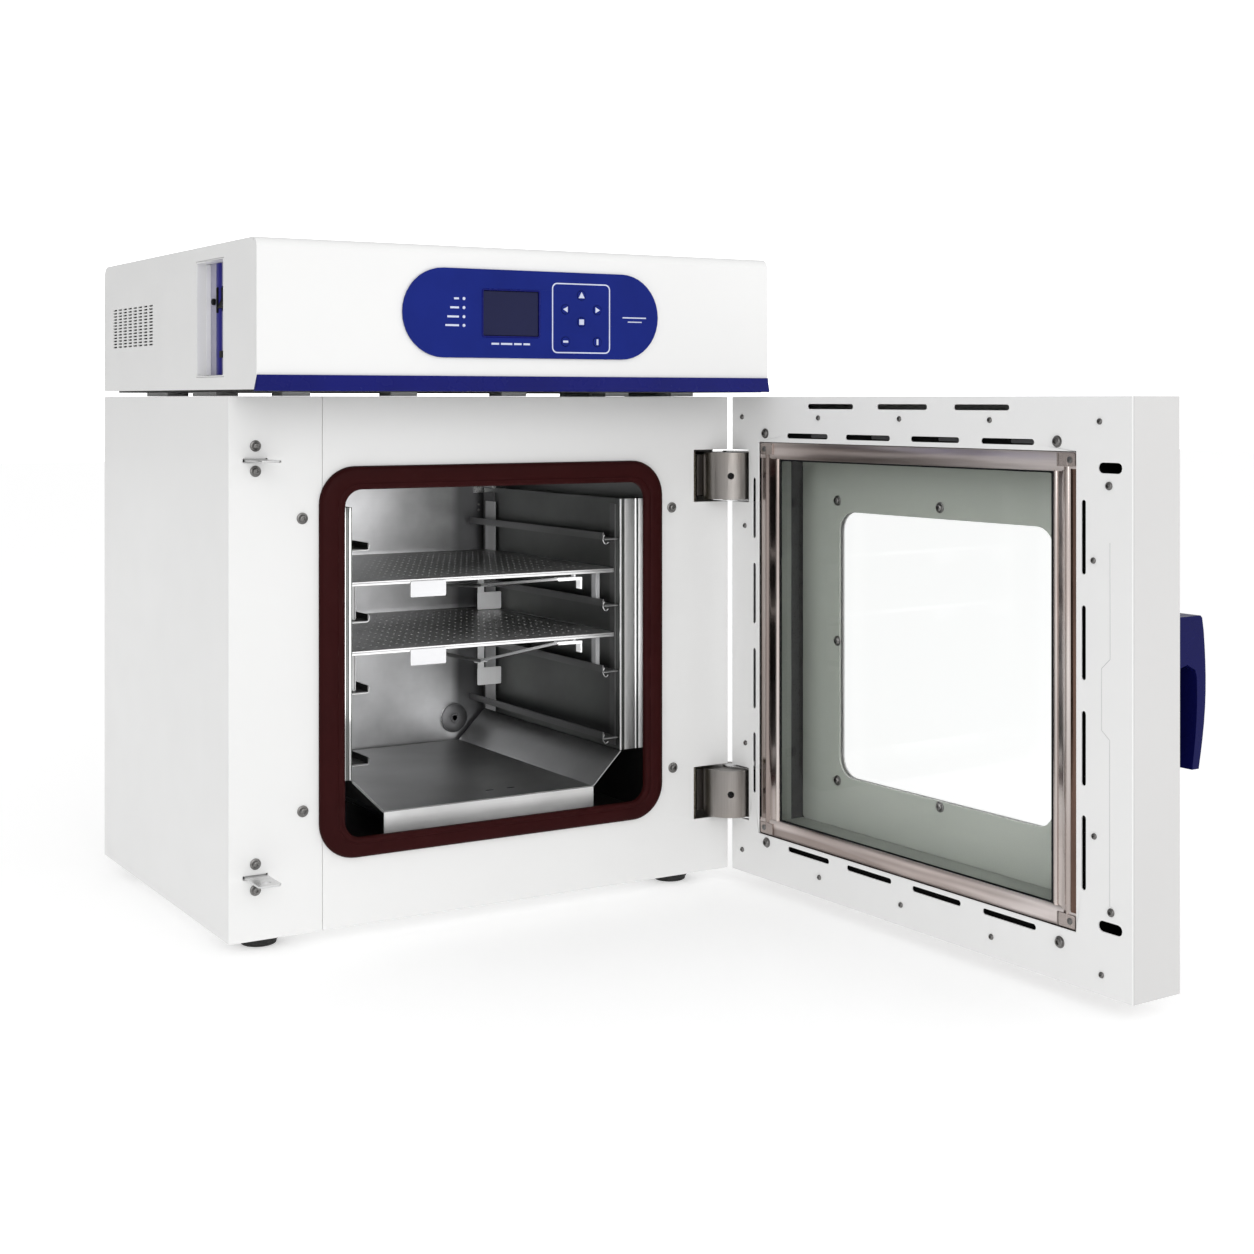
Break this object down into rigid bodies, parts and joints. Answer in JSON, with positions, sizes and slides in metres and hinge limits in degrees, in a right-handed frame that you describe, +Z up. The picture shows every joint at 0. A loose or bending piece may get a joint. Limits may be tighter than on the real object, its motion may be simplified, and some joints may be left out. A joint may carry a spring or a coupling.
{
  "type": "laboratory drying oven",
  "caption": "Bench-top forced-convection drying oven with a swinging glazed door, sliding shelves and a control housing on top.",
  "frame": {"origin": "centre of the whole oven's footprint on the bench, door open as at rest", "axes": "+Z up; +Y from the oven's front face to its back, so the open door reaches towards -Y; +X from the oven's left side to its right"},
  "size_m": [0.6774, 0.9614, 0.656],
  "materials": {
    "white_enamel": "semi-gloss white powder coat",
    "stainless": "brushed stainless steel",
    "chamber_steel": "mill-finish stainless steel, darkened in use",
    "frame_steel": "polished stainless trim",
    "silicone_red": "dark red silicone seal",
    "foot_rubber": "black moulded rubber",
    "blue_trim": "deep blue moulded plastic",
    "overlay_blue": "deep blue printed film",
    "glass": "clear toughened glass",
    "display_black": "dark display window",
    "black_plastic": "black moulded plastic",
    "grey_plastic": "light grey moulded plastic",
    "case_aluminium": "folded aluminium case, stood in for by a solid block",
    "mineral_wool": null,
    "circuit_board": "green circuit board"
  },
  "bodies": {
    "oven": {"left_side_panel": "white_enamel", "front_frame": "white_enamel", "right_side_panel": "white_enamel", "cabinet_top": "white_enamel", "base_panel": "white_enamel", "rear_panel": "white_enamel", "foot_front_left": "foot_rubber", "foot_rear_left": "foot_rubber", "foot_front_right": "foot_rubber", "foot_rear_right": "foot_rubber", "door_gasket": "silicone_red", "strike_upper": "stainless", "strike_lower": "stainless", "chamber_liner": "chamber_steel", "insulation_jacket": "mineral_wool", "duct_panel_left": "stainless", "duct_panel_right": "stainless", "duct_floor": "chamber_steel", "rack_left": "stainless", "rack_right": "stainless", "heater_element": "stainless", "fan_motor": "stainless", "vent_tube": "stainless", "temperature_probe": "stainless", "hinge_barrel_upper": "stainless", "hinge_barrel_lower": "stainless", "housing_cover": "white_enamel", "fascia": "white_enamel", "housing_base": "grey_plastic", "trim_strip": "blue_trim", "power_supply": "case_aluminium", "power_inlet": "black_plastic", "control_overlay": "overlay_blue", "lcd_module": "display_black", "control_board": "circuit_board", "side_pocket": "grey_plastic", "switch_panel": "blue_trim"},
    "door": {"door_inner_panel": "white_enamel", "door_shell": "white_enamel", "window_frame": "frame_steel", "inner_glass": "glass", "door_insulation": "mineral_wool", "glass_clamp": "white_enamel", "outer_glass": "glass", "hinge_leaf_upper": "stainless", "hinge_leaf_lower": "stainless"},
    "handle": {"handle": "blue_trim"},
    "latch": {"latch_rod": "stainless"},
    "upper_shelf": {"shelf_upper": "stainless"},
    "lower_shelf": {"shelf_lower": "stainless"},
    "fan": {"fan_wheel": "stainless"},
    "damper": {"vent_damper": "black_plastic"},
    "switch": {"power_switch": "black_plastic"},
    "key_up": {"button_up": "overlay_blue"},
    "key_left": {"button_left": "overlay_blue"},
    "key_right": {"button_right": "overlay_blue"},
    "key_down": {"button_down": "overlay_blue"},
    "key_menu": {"button_menu": "overlay_blue"},
    "key_enter": {"button_enter": "overlay_blue"}
  },
  "joints": [
    {"name": "door_hinge", "type": "hinge", "parent": "oven", "child": "door", "pos_m": [0.21029, 0.06621, 0], "axis": [0, 0, 1], "range_deg": [-92.3, 27]},
    {"name": "handle_tilt", "type": "hinge", "parent": "door", "child": "handle", "pos_m": [0.30174, -0.45404, 0.318], "axis": [0.0401, -0.9992, 0], "range_deg": [0, 12], "stiffness_Nm_per_rad": 1.2, "springref_deg": -20.05},
    {"name": "latch_slide", "type": "slide", "parent": "door", "child": "latch", "axis": [0, 0, -1], "range_m": [0, 0.0065]},
    {"name": "upper_shelf_slide", "type": "slide", "parent": "oven", "child": "upper_shelf", "axis": [0, -1, 0], "range_m": [0, 0.2]},
    {"name": "lower_shelf_slide", "type": "slide", "parent": "oven", "child": "lower_shelf", "axis": [0, -1, 0], "range_m": [0, 0.2]},
    {"name": "fan_spin", "type": "hinge", "parent": "oven", "child": "fan", "pos_m": [-0.23471, 0.24971, 0.279], "axis": [1, 0, 0], "continuous": true},
    {"name": "damper_turn", "type": "hinge", "parent": "oven", "child": "damper", "pos_m": [0.05429, 0.47271, 0.139], "axis": [0, 1, 0], "range_deg": [0, 90]},
    {"name": "switch_rock", "type": "hinge", "parent": "oven", "child": "switch", "pos_m": [-0.32441, 0.11571, 0.607], "axis": [0, -1, 0], "range_deg": [0, 16]},
    {"name": "key_up_press", "type": "slide", "parent": "oven", "child": "key_up", "axis": [0, 1, 0], "range_m": [0, 0.001], "stiffness_N_per_m": 300},
    {"name": "key_left_press", "type": "slide", "parent": "oven", "child": "key_left", "axis": [0, 1, 0], "range_m": [0, 0.001], "stiffness_N_per_m": 300},
    {"name": "key_right_press", "type": "slide", "parent": "oven", "child": "key_right", "axis": [0, 1, 0], "range_m": [0, 0.001], "stiffness_N_per_m": 300},
    {"name": "key_down_press", "type": "slide", "parent": "oven", "child": "key_down", "axis": [0, 1, 0], "range_m": [0, 0.001], "stiffness_N_per_m": 300},
    {"name": "key_menu_press", "type": "slide", "parent": "oven", "child": "key_menu", "axis": [0, 1, 0], "range_m": [0, 0.001], "stiffness_N_per_m": 300},
    {"name": "key_enter_press", "type": "slide", "parent": "oven", "child": "key_enter", "axis": [0, 1, 0], "range_m": [0, 0.001], "stiffness_N_per_m": 300}
  ],
  "couplings": [
    {"joint": "latch_slide", "follows": "handle_tilt", "m_per_rad": 0.029}
  ]
}
